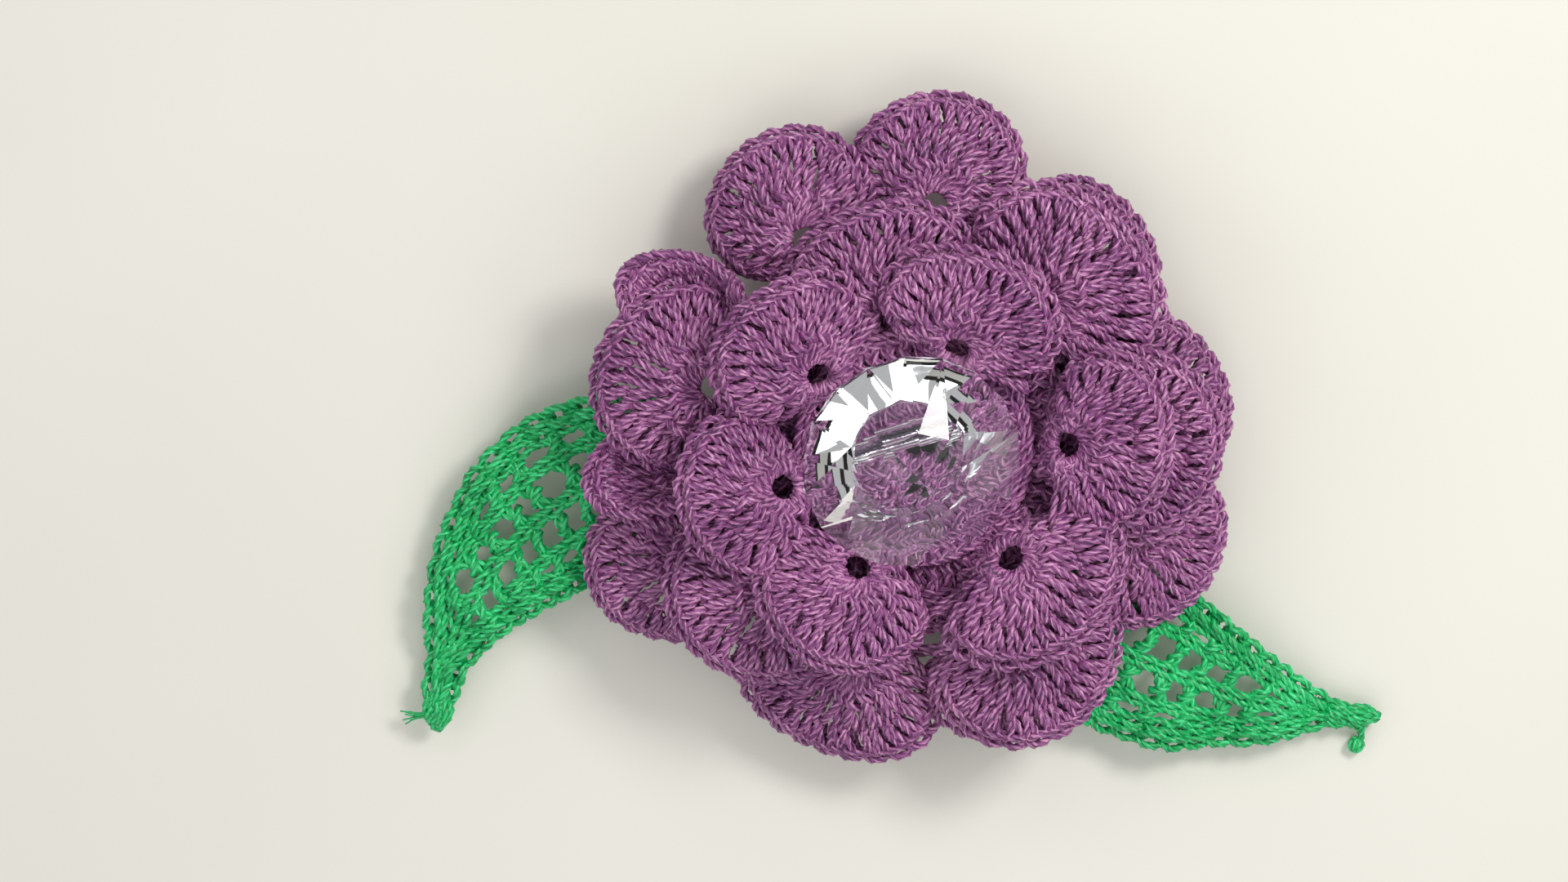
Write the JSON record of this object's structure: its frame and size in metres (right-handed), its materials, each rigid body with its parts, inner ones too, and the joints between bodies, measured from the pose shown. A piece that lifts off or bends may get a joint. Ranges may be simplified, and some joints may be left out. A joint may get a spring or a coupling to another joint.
{
  "type": "crocheted flower brooch",
  "caption": "Crocheted flower brooch with tiered petals, two openwork leaves, a clear faceted stone in the middle and a hinged safety pin on a felt back.",
  "frame": {"origin": "centre of the felt disc's back face, on the flower's axis", "axes": "+Z out of the flower's face along its axis, +Y up as the brooch is worn, +X to the wearer's left as seen from the front"},
  "size_m": [0.0891, 0.0624, 0.0252],
  "materials": {
    "purple_cotton": "crocheted mercerised cotton",
    "green_cotton": "crocheted mercerised cotton, openwork",
    "clear_acrylic": "moulded and polished clear acrylic, unfoiled",
    "sewing_thread": "twisted polyester thread",
    "felt": "pressed wool-blend felt",
    "nickel_plate": "nickel-plated steel, lightly satined"
  },
  "bodies": {
    "root": {"front_petal_1": "purple_cotton", "front_petal_2": "purple_cotton", "front_petal_3": "purple_cotton", "front_petal_4": "purple_cotton", "front_petal_5": "purple_cotton", "front_petal_6": "purple_cotton", "middle_petal_1": "purple_cotton", "middle_petal_2": "purple_cotton", "middle_petal_3": "purple_cotton", "middle_petal_4": "purple_cotton", "middle_petal_5": "purple_cotton", "middle_petal_6": "purple_cotton", "back_petal_1": "purple_cotton", "back_petal_2": "purple_cotton", "back_petal_3": "purple_cotton", "back_petal_4": "purple_cotton", "back_petal_5": "purple_cotton", "back_petal_6": "purple_cotton", "back_petal_7": "purple_cotton", "back_petal_8": "purple_cotton", "back_petal_9": "purple_cotton", "back_petal_10": "purple_cotton", "front_round": "purple_cotton", "middle_round": "purple_cotton", "back_round": "purple_cotton", "left_leaf": "green_cotton", "right_leaf": "green_cotton", "stone": "clear_acrylic", "stone_thread": "sewing_thread", "felt_backing": "felt", "pin_bar": "nickel_plate", "hinge_rivet": "nickel_plate", "pin_stitches": "sewing_thread"},
    "stem": {"pin_stem": "nickel_plate"},
    "lock": {"safety_catch": "nickel_plate"}
  },
  "joints": [
    {"name": "stem_swing", "type": "hinge", "parent": "root", "child": "stem", "pos_m": [-0.013, 0.005, -0.0027], "axis": [0, 1, 0], "range_deg": [0, 100]},
    {"name": "lock_turn", "type": "hinge", "parent": "root", "child": "lock", "pos_m": [0.0112, 0.005, -0.0027], "axis": [1, 0, 0], "range_deg": [0, 110]}
  ]
}
